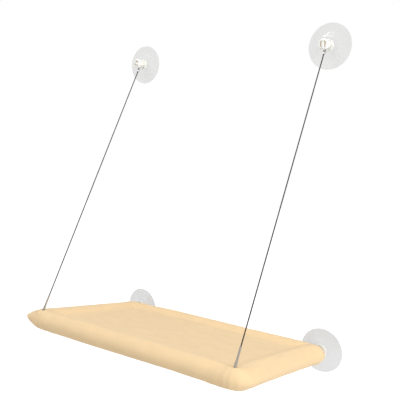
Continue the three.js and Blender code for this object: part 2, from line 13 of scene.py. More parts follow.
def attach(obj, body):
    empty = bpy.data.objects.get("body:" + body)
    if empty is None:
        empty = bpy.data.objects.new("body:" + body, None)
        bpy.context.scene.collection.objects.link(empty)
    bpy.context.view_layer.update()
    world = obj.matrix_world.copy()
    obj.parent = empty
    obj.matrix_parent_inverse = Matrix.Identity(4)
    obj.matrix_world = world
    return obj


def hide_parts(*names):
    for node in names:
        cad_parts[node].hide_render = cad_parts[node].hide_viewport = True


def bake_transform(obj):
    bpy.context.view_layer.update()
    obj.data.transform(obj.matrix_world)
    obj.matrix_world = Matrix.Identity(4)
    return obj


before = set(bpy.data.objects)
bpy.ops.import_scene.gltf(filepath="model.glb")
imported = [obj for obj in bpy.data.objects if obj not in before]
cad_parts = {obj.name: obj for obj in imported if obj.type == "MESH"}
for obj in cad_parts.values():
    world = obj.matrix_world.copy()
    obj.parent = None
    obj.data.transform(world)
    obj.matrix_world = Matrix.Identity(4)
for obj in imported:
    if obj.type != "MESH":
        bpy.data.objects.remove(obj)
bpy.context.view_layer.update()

MM = 0.001

# Camera, fitted to the photograph
CAMERA_PLACE = Vector((0.7220, -1.0486, 0.4113))
CAMERA_HEADING = radians(37.02)
CAMERA_PITCH = radians(-5.41)
CAMERA_ROLL = radians(0.852)
CAMERA_LENS = 50.77
CAMERA_SENSOR = 36.0

# Bed
BED_HALF_WIDTH = 245 * MM
BED_DEPTH = 282 * MM
BED_TILT = 0.14
RAIL_TO_GLASS = 34 * MM
ROLL_RADIUS = 20.5 * MM
ROLL_CORNER = 11.5 * MM
CORNER_GROW = 0.35
ROLL_PAST_CROWN = radians(128)
DISH_HANDLE = 0.48
DISH = [(41 * MM, 10.2 * MM), (65 * MM, 9.2 * MM), (90 * MM, 8.7 * MM)]
COVER_THICKNESS = 1.2 * MM
RAIL_RADIUS = 12.5 * MM
FOAM_OUTER = 18.4 * MM
FOAM_END = 38.3 * MM
PAD_INSET = 20.5 * MM
PAD_ROUND = 7 * MM
FIT = 0.3 * MM

# Cups and hubs: heights are distances from the glass
CUP_RADIUS = 45 * MM
CUP_HEIGHT = 6.5 * MM
CUP_BOSS = 11 * MM
UPPER_CUP_HEIGHT = 610 * MM
UPPER_CUP_X = 243.5 * MM
LOWER_CUP_X = 249 * MM
STUD_RADIUS = 3 * MM
FLANGE_HEIGHT = 2.9 * MM
FLANGE_TOP = 4.4 * MM
FLANGE_RADIUS = 8 * MM
COLLAR_FOOT = CUP_HEIGHT + FIT
UPPER_COLLAR_THICKNESS = 5.5 * MM
COLLARS = {"upper": (12 * MM, UPPER_COLLAR_THICKNESS, 0.7 * MM), "lower": (14.5 * MM, 3.3 * MM, 0.6 * MM)}
COLLAR_NOTCHES = 20
BARREL_RADIUS = 4.8 * MM
BARREL_LENGTH = 12 * MM
BARREL_END = COLLAR_FOOT + UPPER_COLLAR_THICKNESS + BARREL_LENGTH
CAP_FOOT = BARREL_END + FIT
CAP_RADIUS = 11 * MM
CAP_FLUTES = 10
CAP_SKIRT = 3 * MM
CAP_HEIGHT = 9 * MM
CAP_BORE = 4 * MM
CAP_POCKET = 7.4 * MM
CAP_POCKET_FLOOR = 5 * MM
CAP_GRIP = 3.2 * MM
CAP_GRIP_ANGLES = {"left": radians(150), "right": radians(90)}
EYE_DROP = 12 * MM
EYE_RADIUS = 7.4 * MM
EYE_WIDTH = 6.4 * MM
PIN_RADIUS = 3 * MM
EAR_SPAN = 6.7 * MM
FOLD_RANGE = radians(74)

# Cables
ROPE_RADIUS = 1.2 * MM
ROPE_LAY = 17 * MM
ROPE_STRANDS = 6
EYE_HEIGHT = BARREL_END - ROPE_RADIUS
CABLE_TOP = Vector((0, -EYE_HEIGHT, UPPER_CUP_HEIGHT - EYE_DROP))
CABLE_HOLE = Vector((0, -314.396 * MM, 59.819 * MM))
CRIMP_START = 0.8 * MM
CRIMP_END = 8.8 * MM
SLEEVE_LENGTH = 34 * MM
SLEEVE_SUNK = 1 * MM

SIDES = (("left", -1), ("right", 1))
ACROSS = Matrix.Rotation(pi / 2, 4, "Y")
OUTWARD = Matrix.Rotation(pi / 2, 4, "X")
CABLE_RUN = (CABLE_HOLE - CABLE_TOP).length
CABLE_LEAN = atan2(CABLE_TOP.y - CABLE_HOLE.y, CABLE_TOP.z - CABLE_HOLE.z)
BED = Matrix.Translation((0, -RAIL_TO_GLASS, 0)) @ Matrix.Rotation(-BED_TILT, 4, "X")


def shift(x, y, z):
    return Matrix.Translation((x, y, z))


def hub_place(x, z):
    """Away from the glass along local Z, with local Y up."""
    return shift(x, 0, z) @ OUTWARD


def cable_place(sign):
    """Down the cable along local Z, from its bend under the upper hub."""
    start = shift(sign * UPPER_CUP_X, CABLE_TOP.y, CABLE_TOP.z)
    return start @ Matrix.Rotation(pi - CABLE_LEAN, 4, "X")


def cable_point(sign, along):
    return cable_place(sign) @ Vector((0, 0, along))


def make_camera():
    data = bpy.data.cameras.new("camera")
    data.lens = CAMERA_LENS
    data.sensor_width = CAMERA_SENSOR
    camera = bpy.data.objects.new("camera", data)
    turn = Matrix.Rotation(CAMERA_HEADING, 4, "Z") @ Matrix.Rotation(pi / 2 + CAMERA_PITCH, 4, "X")
    turn = turn @ Matrix.Rotation(CAMERA_ROLL, 4, "Z")
    camera.matrix_world = Matrix.Translation(CAMERA_PLACE) @ turn
    bpy.context.scene.collection.objects.link(camera)
    bpy.context.scene.camera = camera


make_camera()


# Materials


def feed(tree, node, inputs):
    """Sets each of a node's inputs to a value, or links it to another node's output."""
    for socket, value in inputs.items():
        if isinstance(value, bpy.types.NodeSocket):
            tree.links.new(value, node.inputs[socket])
        else:
            node.inputs[socket].default_value = value


def add_node(tree, kind, inputs):
    node = tree.nodes.new("ShaderNode" + kind)
    feed(tree, node, inputs)
    return node


class Look:
    """A procedural material under construction: nodes are added and linked by short calls."""

    def __init__(self, name, color, roughness, metallic=0.0):
        self.material = bpy.data.materials.new(name)
        self.material.use_nodes = True
        self.tree = self.material.node_tree
        self.shader = self.tree.nodes["Principled BSDF"]
        self.set("Base Color", (*color, 1))
        self.set("Roughness", roughness)
        self.set("Metallic", metallic)
        self.places = add_node(self.tree, "TexCoord", {}).outputs["Object"]

    def set(self, socket, value):
        feed(self.tree, self.shader, {socket: value})

    def noise(self, scale, detail=3.0, squash=(1, 1, 1)):
        mapping = add_node(self.tree, "Mapping", {"Vector": self.places, "Scale": squash})
        inputs = {"Vector": mapping.outputs["Vector"], "Scale": scale, "Detail": detail}
        return add_node(self.tree, "TexNoise", inputs).outputs["Fac"]

    def wave(self, direction, scale):
        node = add_node(self.tree, "TexWave", {"Vector": self.places, "Scale": scale})
        node.bands_direction = direction
        return node.outputs["Fac"]

    def math(self, operation, first, second):
        node = add_node(self.tree, "Math", {0: first, 1: second})
        node.operation = operation
        return node.outputs["Value"]

    def tint(self, factor, stops):
        ramp = add_node(self.tree, "ValToRGB", {"Fac": factor})
        for element, (place, color) in zip(ramp.color_ramp.elements, stops):
            element.position = place
            element.color = (*color, 1)
        self.set("Base Color", ramp.outputs["Color"])

    def vary_roughness(self, factor, low, high):
        spread = add_node(self.tree, "MapRange", {"Value": factor, "To Min": low, "To Max": high})
        self.set("Roughness", spread.outputs["Result"])

    def bump(self, height, distance, strength=1.0):
        node = add_node(self.tree, "Bump", {"Height": height, "Distance": distance, "Strength": strength})
        before = self.shader.inputs["Normal"]
        if before.is_linked:
            feed(self.tree, node, {"Normal": before.links[0].from_socket})
        self.set("Normal", node.outputs["Normal"])


def around(color, spread):
    """Two shades either side of a colour, as the stops of a ramp."""
    dark = tuple(channel * (1 - spread) for channel in color)
    light = tuple(min(1, channel * (1 + spread)) for channel in color)
    return [(0.3, dark), (0.7, light)]


def fabric_look(name, color, weave_scale=70):
    look = Look(name, color, 0.85)
    mottle = look.noise(38, 4)
    slub = look.noise(160, 2, (1, 6, 6))
    shade = look.math("ADD", look.math("MULTIPLY", mottle, 0.7), look.math("MULTIPLY", slub, 0.3))
    look.tint(shade, around(color, 0.035))
    threads = [look.wave(direction, weave_scale) for direction in "XYZ"]
    weave = look.math("ADD", look.math("ADD", threads[0], threads[1]), threads[2])
    look.bump(weave, 0.06 * MM, 0.6)
    look.bump(look.noise(900, 2), 0.08 * MM, 0.5)
    look.vary_roughness(mottle, 0.78, 0.92)
    look.set("Sheen Weight", 0.12)
    look.set("Sheen Roughness", 0.4)
    return look.material


def plastic_look(name, color, roughness, grain=0.05 * MM):
    look = Look(name, color, roughness)
    look.tint(look.noise(90, 3), around(color, 0.015))
    look.vary_roughness(look.noise(220, 3), roughness * 0.85, roughness * 1.2)
    look.bump(look.noise(1500, 2), grain, 0.25)
    return look.material


def metal_look(name, color, roughness):
    look = Look(name, color, roughness, 1.0)
    brushed = look.noise(300, 4, (1, 1, 14))
    look.tint(brushed, around(color, 0.06))
    look.vary_roughness(brushed, roughness * 0.75, roughness * 1.3)
    look.bump(brushed, 0.02 * MM, 0.4)
    return look.material


def clear_look(name, color, alpha):
    look = Look(name, color, 0.15)
    look.tint(look.noise(25, 3), around(color, 0.01))
    look.vary_roughness(look.noise(60, 3), 0.13, 0.17)
    look.bump(look.noise(35, 2), 0.1 * MM, 0.008)
    look.set("Alpha", alpha)
    look.set("IOR", 1.6)
    look.set("Coat Weight", 1.0)
    look.set("Coat Roughness", 0.13)
    return look.material


def foam_look():
    color = (0.86, 0.80, 0.66)
    look = Look("open_cell_foam", color, 0.95)
    cells = look.noise(700, 3)
    look.tint(cells, around(color, 0.08))
    look.bump(cells, 0.3 * MM, 0.7)
    look.vary_roughness(cells, 0.9, 1.0)
    return look.material


def rope_look(name, color):
    look = Look(name, color, 0.42, 0.5)
    wires = look.noise(2600, 2, (1, 1, 0.4))
    look.tint(wires, around(color, 0.35))
    look.vary_roughness(wires, 0.28, 0.5)
    look.bump(wires, 0.08 * MM, 0.6)
    look.set("Specular IOR Level", 0.25)
    look.set("Coat Weight", 0.1)
    look.set("Coat Roughness", 0.15)
    return look.material


FABRIC = fabric_look("tan_fabric", (0.84, 0.625, 0.365))
# Darker copy of the tan fabric: painted shade on the roll's underside along the bottom seam
SEAM_SHADE = fabric_look("seam_fabric_painted_shade", (0.66, 0.46, 0.235))
TAPE = fabric_look("zip_tape", (0.68, 0.47, 0.26), 120)
THREAD = fabric_look("sewing_thread", (0.72, 0.52, 0.30), 180)
# The lower cups get a darker, less clear copy of the PVC look: painted shade, as they sit in the bed's shadow
CLEAR = {
    "upper": clear_look("clear_pvc", (0.43, 0.435, 0.42), 0.22),
    "lower": clear_look("clear_pvc_lower_painted_shade", (0.355, 0.37, 0.38), 0.34),
}
WHITE = plastic_look("white_plastic", (0.90, 0.90, 0.885), 0.16, 0.01 * MM)
CREAM = plastic_look("cream_plastic", (0.91, 0.905, 0.86), 0.35)
SLEEVE = plastic_look("grey_sleeve", (0.33, 0.29, 0.245), 0.6)
# Darker tan copy of the cream plastic for the cap nut's pocket faces: painted shade in the recesses
POCKET_SHADE = plastic_look("cream_pocket_painted_shade", (0.90, 0.83, 0.72), 0.3)
RAIL = plastic_look("rail_plastic", (0.80, 0.80, 0.78), 0.4)
CORNER = plastic_look("corner_plastic", (0.70, 0.70, 0.67), 0.5, 0.12 * MM)
FOAM = foam_look()
STEEL = metal_look("plated_steel", (0.62, 0.63, 0.64), 0.28)
CRIMP = metal_look("crimped_aluminium", (0.44, 0.44, 0.435), 0.42)
BRASS = metal_look("zip_brass", (0.60, 0.44, 0.20), 0.35)
ROPE = rope_look("steel_strand", (0.015, 0.013, 0.011))
# Brighter copy of the strand look, put on every other strand: painted glints along the rope
ROPE_GLINT = rope_look("steel_strand_painted_glint", (0.055, 0.047, 0.042))


# Mesh tools

SAME_POINT = 0.002 * MM
SAME_PLACE = 0.01 * MM
FILLET_STEPS = 5
FILLET_SHARE = 0.48


def circle(count):
    """The angles of so many even steps round a circle."""
    return [2 * pi * step / count for step in range(count)]


def shares(steps):
    """Even shares from 0 up to 1."""
    return [step / steps for step in range(steps + 1)]


def clean(data, crease):
    """Merges points that coincide, turns the faces outward and smooths all but the sharp edges."""
    edit = bmesh.new()
    edit.from_mesh(data)
    bmesh.ops.remove_doubles(edit, verts=edit.verts, dist=SAME_POINT)
    bmesh.ops.dissolve_degenerate(edit, edges=edit.edges, dist=SAME_POINT)
    bmesh.ops.recalc_face_normals(edit, faces=edit.faces)
    edit.to_mesh(data)
    edit.free()
    data.polygons.foreach_set("use_smooth", [True] * len(data.polygons))
    data.set_sharp_from_angle(angle=radians(crease))
    data.update()


def mesh_piece(name, vertices, faces, material, crease=35):
    data = bpy.data.meshes.new(name)
    data.from_pydata([tuple(vertex) for vertex in vertices], [], faces)
    data.materials.append(material)
    clean(data, crease)
    piece = bpy.data.objects.new(name, data)
    bpy.context.scene.collection.objects.link(piece)
    return piece


def skin_faces(rings, count, loop=False):
    """Faces between a stack of rings of so many points each."""
    faces = []
    for index in range(rings if loop else rings - 1):
        low = index * count
        high = (index + 1) % rings * count
        for i in range(count):
            j = (i + 1) % count
            faces.append((low + i, low + j, high + j, high + i))
    return faces


def loft(name, rings, material, place=Matrix(), loop=False, crease=35, open_ends=False):
    """A skin through a stack of rings with the same number of points."""
    count = len(rings[0])
    vertices = [place @ Vector(point) for ring in rings for point in ring]
    faces = skin_faces(len(rings), count, loop)
    if not loop and not open_ends:
        for start in (0, (len(rings) - 1) * count):
            if (vertices[start] - vertices[start + count // 2]).length > SAME_PLACE:
                faces.append(tuple(range(start, start + count)))
    return mesh_piece(name, vertices, faces, material, crease)


def rounded(points, loop=False):
    """Rounds each corner of an outline that has a fillet as its third number."""
    outline = []
    last = len(points) - 1
    for index, (x, y, *fillet) in enumerate(points):
        here = Vector((x, y))
        if not fillet or (not loop and index in (0, last)):
            outline.append(here)
            continue
        back = Vector(points[index - 1][:2]) - here
        ahead = Vector(points[(index + 1) % len(points)][:2]) - here
        cut = fillet[0] / tan(back.angle(ahead) / 2)
        start = here + back.normalized() * min(cut, FILLET_SHARE * back.length)
        end = here + ahead.normalized() * min(cut, FILLET_SHARE * ahead.length)
        for share in shares(FILLET_STEPS):
            outline.append(start.lerp(here, share).lerp(here.lerp(end, share), share))
    return outline


def spline(points, steps):
    """A smooth curve through a list of points."""
    points = [Vector(point) for point in points]
    ends = [2 * points[0] - points[1], *points, 2 * points[-1] - points[-2]]
    curve = []
    for index in range(1, len(ends) - 2):
        a, b, c, d = ends[index - 1:index + 3]
        for t in shares(steps)[:-1]:
            curve.append(0.5 * (2 * b + (c - a) * t + (2 * a - 5 * b + 4 * c - d) * t**2
                                + (3 * b - a - 3 * c + d) * t**3))
    return [*curve, points[-1]]


def turned(name, profile, material, place, segments=96, reach=None, loop=False, crease=35):
    """A profile of radius and height turned about local Z; reach may change the radius with the angle."""
    rings = []
    for radius, height in rounded(profile, loop):
        ring = []
        for angle in circle(segments):
            length = reach(angle, radius, height) if reach and radius > 0 else radius
            ring.append((length * cos(angle), length * sin(angle), height))
        rings.append(ring)
    return loft(name, rings, material, place, loop, crease)


def settle(piece):
    """Replaces a piece's mesh by what its modifiers make of it."""
    bpy.context.view_layer.update()
    shaped = piece.evaluated_get(bpy.context.evaluated_depsgraph_get())
    data = bpy.data.meshes.new_from_object(shaped)
    piece.modifiers.clear()
    piece.data = data


def soften(piece, edge):
    bevel = piece.modifiers.new("edges", "BEVEL")
    bevel.width = edge
    bevel.segments = 3
    settle(piece)


def combine(piece, other, operation, crease=35):
    """Cuts another piece out of a piece, or joins it on, and removes the other."""
    modifier = piece.modifiers.new("combine", "BOOLEAN")
    modifier.object = other
    modifier.operation = operation
    modifier.solver = "MANIFOLD"
    settle(piece)
    bpy.data.objects.remove(other)
    clean(piece.data, crease)


def drill(piece, radius, low, high, place, segments, crease):
    """Cuts a round hole along local Z."""
    profile = [(0, low), (radius, low), (radius, high), (0, high)]
    hole = turned("hole", profile, piece.data.materials[0], place, segments)
    combine(piece, hole, "DIFFERENCE", crease)


def finish_piece(piece, body, slot, *nodes):
    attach(piece, body)
    if nodes:
        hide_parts(*nodes)
    return piece


def ease(value, low, high):
    """0 up to low, 1 from high on, with a smooth rise between."""
    share = min(1, max(0, (value - low) / (high - low)))
    return share * share * (3 - 2 * share)


def search_tree(points):
    tree = KDTree(len(points))
    for index, point in enumerate(points):
        tree.insert(point, index)
    tree.balance()
    return tree


# Ropes

STRAND_POINTS = 5
ROPE_CORE = 0.86
ROPE_STEP = 1.6 * MM


def strand_reach(angle):
    """Outline of six round strands laid about a core, as a share of the rope's radius."""
    sector = 2 * pi / ROPE_STRANDS
    offset = (angle % sector) - sector / 2
    return 2 / 3 * cos(offset) + sqrt(max(0, 1 / 9 - (2 / 3 * sin(offset)) ** 2))


def rope(name, path, dark):
    """A stranded rope along a path of points that lie close together, every other strand in a brighter look
    as painted glints.
    """
    count = ROPE_STRANDS * STRAND_POINTS
    side = None
    travelled = 0.0
    rings = []
    for index, point in enumerate(path):
        before = path[max(0, index - 1)]
        after = path[min(len(path) - 1, index + 1)]
        tangent = (after - before).normalized()
        if side is None:
            side = tangent.orthogonal().normalized()
        side = (side - tangent * side.dot(tangent)).normalized()
        across = tangent.cross(side)
        travelled += (point - before).length if index else 0
        twist = 2 * pi * travelled / ROPE_LAY
        ring = []
        for angle in circle(count):
            reach = ROPE_RADIUS * max(ROPE_CORE, strand_reach(angle))
            turn = angle + twist
            ring.append(point + (side * cos(turn) + across * sin(turn)) * reach)
        rings.append(ring)
    piece = loft(name, rings, dark, crease=75)
    piece.data.materials.append(ROPE_GLINT)
    # Every other strand takes the brighter look: painted glints
    for index, face in enumerate(piece.data.polygons):
        strand = index % count // STRAND_POINTS
        if len(face.vertices) == 4 and strand % 2:
            face.material_index = 1
    return piece


def straight_cable(side, sign):
    """The taut run from the crimp to the hole in the bed."""
    start = CRIMP_END - 2 * MM
    length = CABLE_RUN - start

    def route(steps):
        return [cable_point(sign, start + length * share) for share in shares(steps)]

    cable = rope(f"steel_cable_{side}", route(round(length / ROPE_STEP)), ROPE)
    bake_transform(cable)
    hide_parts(f"cable_upper_{side}", f"cable_lower_{side}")
    cable_sleeve(side, sign)


def cable_sleeve(side, sign):
    top = CABLE_RUN - SLEEVE_LENGTH
    foot = CABLE_RUN + SLEEVE_SUNK
    bore = ROPE_RADIUS + FIT
    profile = [
        (bore, top),
        (1.8 * MM, top, 0.3 * MM),
        (2.0 * MM, foot - 12 * MM, 2 * MM),
        (2.5 * MM, foot - 9 * MM, 3 * MM),
        (2.5 * MM, foot - 1.2 * MM, 1.0 * MM),
        (2.0 * MM, foot - 0.2 * MM, 0.4 * MM),
        (bore, foot),
    ]
    sleeve = turned(f"grey_sleeve_{side}", profile, SLEEVE, cable_place(sign), 48, loop=True)
    return finish_piece(sleeve, f"cable_lower_{side}", "sleeve_pvc", f"cable_sleeve_{side}")


def cable_eye(side, sign):
    """The rope's loop in the groove of the upper hub."""
    radius = BARREL_RADIUS + FIT + ROPE_RADIUS
    spread = 1.35 * MM
    tangent_angle = radians(42)
    points = [Vector((-spread, -EYE_DROP, EYE_HEIGHT))]
    for share in shares(14):
        angle = pi + tangent_angle - (pi + 2 * tangent_angle) * share
        points.append(Vector((radius * cos(angle), radius * sin(angle), EYE_HEIGHT)))
    points.append(Vector((spread, -EYE_DROP, EYE_HEIGHT)))
    place = hub_place(sign * UPPER_CUP_X, UPPER_CUP_HEIGHT)
    # The loop's strands take the bright plated steel look, not the cable's dark one: painted light that lifts
    # the shade between the cap and the collar
    eye = rope(f"cable_loop_{side}", [place @ point for point in spline(points, 5)], STEEL)
    finish_piece(eye, "window_mounts", "cable_steel", f"cable_eye_{side}")


def cable_crimp(side, sign):
    """A flattened ferrule with rounded mouths and two pressed waists."""
    half_width = 3 * MM
    half_depth = 2 * MM

    def flattened(value):
        return copysign(abs(value) ** 0.8, value)

    rings = []
    for share in shares(28):
        along = CRIMP_START + (CRIMP_END - CRIMP_START) * share
        mouth = 1 - 0.16 * (1 - ease(min(share, 1 - share), 0, 0.12))
        waist = 1 - 0.09 * sum(exp(-((share - middle) / 0.07) ** 2) for middle in (0.32, 0.68))
        width, depth = half_width * mouth, half_depth * mouth * waist
        outline = [(flattened(cos(angle)), flattened(sin(angle))) for angle in circle(48)]
        rings.append([(width * x, depth * y, along) for x, y in outline])
    crimp = loft(f"crimp_ferrule_{side}", rings, CRIMP, cable_place(sign), crease=50)
    finish_piece(crimp, f"cable_upper_{side}", "steel", f"cable_crimp_{side}")


for side, sign in SIDES:
    straight_cable(side, sign)
    cable_eye(side, sign)
    cable_crimp(side, sign)


# Cups and hubs

# Across and up, as shares of the cup's radius and height
CUP_BACK = (
    (0.985, 0.225), (0.95, 0.24), (0.8, 0.3), (0.64, 0.4),
    (0.54, 0.56), (0.46, 0.78), (0.36, 0.94), (0.25, 1),
)


def suction_cup(level, side, place):
    """A soft cup: sealing land and shallow dome against the glass, a raised boss round the stud."""
    back = spline([(CUP_RADIUS * across, CUP_HEIGHT * up) for across, up in CUP_BACK], 6)
    dome_radius = CUP_RADIUS - 15 * MM
    dome_rise = 1.6 * MM
    dome = [(dome_radius * share, dome_rise * cos(share * pi / 2)) for share in shares(12)]
    bore = STUD_RADIUS + FIT
    pocket = FLANGE_RADIUS + FIT
    profile = [
        *dome,
        (CUP_RADIUS, 0, 0.3 * MM),
        (CUP_RADIUS, 1.4 * MM, 0.5 * MM),
        *[tuple(point) for point in back],
        (CUP_BOSS - 0.4 * MM, CUP_HEIGHT, 0.3 * MM),
        (bore, CUP_HEIGHT),
        (bore, FLANGE_TOP + FIT),
        (pocket, FLANGE_TOP + FIT),
        (pocket, FLANGE_HEIGHT - FIT),
        (0, FLANGE_HEIGHT - FIT),
    ]
    cup = turned(f"{level}_suction_cup_{side}", profile, CLEAR[level], place, 160)
    finish_piece(cup, "window_mounts", "clear_pvc", f"{level}_cup_{side}")


def flanged_stud(name, place, end, thread_end):
    """A stud with a flange in the cup and a rolled thread from the cup on."""
    pitch = 1.0 * MM
    depth = 0.34 * MM
    slice_height = 0.2 * MM
    edge = 0.4 * MM

    def threaded(angle, radius, height):
        if not CUP_HEIGHT < height < thread_end or radius < STUD_RADIUS * 0.99:
            return radius
        phase = (height / pitch - angle / (2 * pi)) % 1
        return radius - depth * abs(2 * phase - 1)

    start = FLANGE_TOP + slice_height
    steps = round((end - start) / slice_height)
    profile = [(0, FLANGE_HEIGHT), (FLANGE_RADIUS, FLANGE_HEIGHT, edge), (FLANGE_RADIUS, FLANGE_TOP, edge),
               (STUD_RADIUS, FLANGE_TOP)]
    profile += [(STUD_RADIUS, start + (end - start) * share) for share in shares(steps)]
    return turned(name, [*profile, (0, end)], STEEL, place, 48, threaded)


def upper_stud(side, place):
    end = BARREL_END + CAP_BORE - FIT
    stud = flanged_stud(f"upper_threaded_stud_{side}", place, end, end)
    finish_piece(stud, "window_mounts", "steel", f"upper_stud_{side}")


def lower_stud(side, sign, place):
    """A stud that ends in a round eye about the corner's pin."""
    stud = flanged_stud(f"lower_swivel_stud_{side}", place, RAIL_TO_GLASS - EYE_RADIUS / 2, 20 * MM)
    half = EYE_WIDTH / 2
    bore = PIN_RADIUS + FIT
    edge = 0.9 * MM
    profile = [(bore, -half, FIT), (EYE_RADIUS, -half, edge), (EYE_RADIUS, half, edge), (bore, half, FIT)]
    across = shift(sign * LOWER_CUP_X, -RAIL_TO_GLASS, 0) @ ACROSS
    combine(stud, turned("eye", profile, STEEL, across, 72, loop=True), "UNION")
    drill(stud, bore, -1.5 * half, 1.5 * half, across, 72, 40)
    finish_piece(stud, "window_mounts", "steel", f"lower_stud_{side}")


def notched(angle, radius, height):
    """Radius of a collar with a rounded notch between each two teeth of its rim."""
    depth = 0.8 * MM
    wave = cos(COLLAR_NOTCHES * angle)
    return radius - depth * ease(-wave, -0.1, 0.65) * (radius > 2 * BARREL_RADIUS)


def collar(level, side, place):
    """A notched ring on the stud; the upper one goes on as the barrel that the rope's eye lies round."""
    bore = STUD_RADIUS + FIT
    rim, thickness, edge = COLLARS[level]
    top = COLLAR_FOOT + thickness
    profile = [(bore, COLLAR_FOOT, 0.3 * MM), (rim, COLLAR_FOOT, edge), (rim, top, edge)]
    if level == "upper":
        profile += [(BARREL_RADIUS + 0.1 * MM, top, 0.5 * MM), (BARREL_RADIUS, BARREL_END, 0.3 * MM)]
        top = BARREL_END
    profile.append((bore, top, 0.3 * MM))
    ring = turned(f"{level}_notched_collar_{side}", profile, CREAM, place, 320, notched, loop=True)
    finish_piece(ring, f"{level}_collar_{side}", "cream_plastic", f"{level}_collar_{side}")


def fluted(angle, radius, height):
    """Radius of the cap's skirt where finger flutes cut into it."""
    flute = 1.4 * MM
    middle = CAP_RADIUS + flute / 2
    sector = 2 * pi / CAP_FLUTES
    offset = ((angle + sector / 2) % sector - sector / 2) * CAP_RADIUS
    if abs(offset) >= flute:
        return radius
    return min(radius, middle - sqrt(flute**2 - offset**2))


CAP_DOME = ((1, 0), (0.995, 0.2), (0.97, 0.45), (0.86, 0.8), (0.66, 0.95), (0.33, 0.99), (0, 1))


def cap_nut(side, place):
    """A domed knob: finger flutes in its skirt, and two pockets in its face with a grip bar between."""
    bore = STUD_RADIUS + FIT
    skirt = CAP_FOOT + CAP_SKIRT
    rise = CAP_HEIGHT - CAP_SKIRT
    segments = 240
    edge = 0.8 * MM
    dome = spline([(CAP_RADIUS * across, skirt + rise * up) for across, up in CAP_DOME], 9)
    foot = rounded([
        (0, CAP_FOOT + CAP_BORE),
        (bore, CAP_FOOT + CAP_BORE),
        (bore, CAP_FOOT, 0.3 * MM),
        (CAP_RADIUS - 0.1 * MM, CAP_FOOT, 0.8 * MM),
        (CAP_RADIUS, CAP_FOOT + 1.4 * MM),
    ])
    grip_angle = CAP_GRIP_ANGLES[side]
    rings = []
    shaded = []
    for radius, height in [*foot, *dome]:
        on_face = height > skirt and radius < CAP_RADIUS
        ring = []
        for angle in circle(segments):
            reach = fluted(angle, radius, height) if radius > 0 else 0
            inside = 0
            if on_face:
                off_bar = abs(reach * sin(angle - grip_angle)) - CAP_GRIP / 2
                inside = ease(CAP_POCKET - reach, 0, edge) * ease(off_bar, 0, edge)
            up = height + (CAP_FOOT + CAP_POCKET_FLOOR - height) * inside
            ring.append((reach * cos(angle), reach * sin(angle), up))
            if inside > 0.5:
                shaded.append(place @ Vector(ring[-1]))
        rings.append(ring)
    cap = loft(f"domed_cap_nut_{side}", rings, WHITE, place, crease=60)
    # The pocket faces take the darker tan look: painted shade in the recesses of the knob's face
    cap.data.materials.append(POCKET_SHADE)
    tree = search_tree(shaded)
    for face in cap.data.polygons:
        if tree.find(cap.data.vertices[face.vertices[0]].co)[2] < SAME_PLACE:
            face.material_index = 1
    finish_piece(cap, f"cap_nut_{side}", "white_plastic", f"cap_nut_{side}")


for side, sign in SIDES:
    upper = hub_place(sign * UPPER_CUP_X, UPPER_CUP_HEIGHT)
    lower = hub_place(sign * LOWER_CUP_X, 0)
    suction_cup("upper", side, upper)
    suction_cup("lower", side, lower)
    upper_stud(side, upper)
    lower_stud(side, sign, lower)
    collar("upper", side, upper)
    collar("lower", side, lower)
    cap_nut(side, upper)


# Loose fit of the cover


class Slack(NamedTuple):
    """A loose corner: how far the cover is drawn out there, over what run, and how far it flattens."""
    side: int
    end: str
    reach: float
    run: float
    inner: float
    outer: float
    flat_above: float
    flat_below: float


SLACK_CORNERS = (
    Slack(-1, "front", 38 * MM, BED_DEPTH, -8 * MM, ROLL_RADIUS, 0.62, 0.5),
    Slack(1, "front", 8 * MM, 130 * MM, -8 * MM, ROLL_RADIUS, 0.13, 0.4),
    Slack(-1, "rear", 9 * MM, 40 * MM, -30 * MM, 9 * MM, 0, 0.45),
    Slack(1, "rear", 9 * MM, 40 * MM, -30 * MM, 9 * MM, 0, 0.45),
)
SLACK_END = BED_DEPTH + 5 * MM
SEAM_LIFT_START = 13 * MM
SEAM_LIFT = 0.2
CORNER_SEAM_LIFT = 0.32
FRONT_SEAM_LIFT = 0.18
SEAM_LIFT_RISE = 10 * MM
CORNER_REACH = 207 * MM
CORNER_EASE = 25 * MM


def inset_of(point):
    """How far a point of the bed's own frame lies inside the rail axes."""
    return min(BED_HALF_WIDTH - abs(point.x), BED_DEPTH / 2 - abs(point.y + BED_DEPTH / 2))


def seam_lift(point):
    """Share by which the bottom of the cover rises: more towards the right end of its front edge."""
    front = ease(-point.y, BED_DEPTH - SEAM_LIFT_RISE, BED_DEPTH + SEAM_LIFT_RISE)
    along = ease(point.x, -BED_HALF_WIDTH / 2, BED_HALF_WIDTH / 2)
    between_corners = 1 - ease(point.x, CORNER_REACH - CORNER_EASE, CORNER_REACH)
    return SEAM_LIFT + front * along * (CORNER_SEAM_LIFT + FRONT_SEAM_LIFT * between_corners)


def settle_fabric(point):
    """Draws the cover out at its loose corners and lifts its bottom seam."""
    moved = Vector(point)
    for slack in SLACK_CORNERS:
        ahead = -point.y if slack.end == "front" else BED_DEPTH + point.y
        forward = ease(ahead, BED_DEPTH - slack.run, SLACK_END)
        past_rail = slack.side * point.x - BED_HALF_WIDTH
        outward = ease(past_rail, slack.inner, slack.outer)
        beyond = ease(past_rail, 0, ROLL_RADIUS)
        flat = slack.flat_above if point.z > 0 else slack.flat_below
        moved.x += slack.side * slack.reach * outward * forward
        moved.z -= point.z * flat * beyond * forward
    below = -SEAM_LIFT_START - moved.z
    if below > 0:
        moved.z += below * seam_lift(point)
    return moved


def clear_of_base(piece):
    """Presses the bottom of a foam piece in, where the cover's bottom is drawn up."""
    for vertex in piece.data.vertices:
        spot = BED.inverted() @ vertex.co
        lowest = COVER_THICKNESS + 3 * FIT - ROLL_RADIUS + (ROLL_RADIUS - SEAM_LIFT_START) * seam_lift(spot)
        spot.z = max(spot.z, lowest)
        vertex.co = BED @ spot


# Bed frame


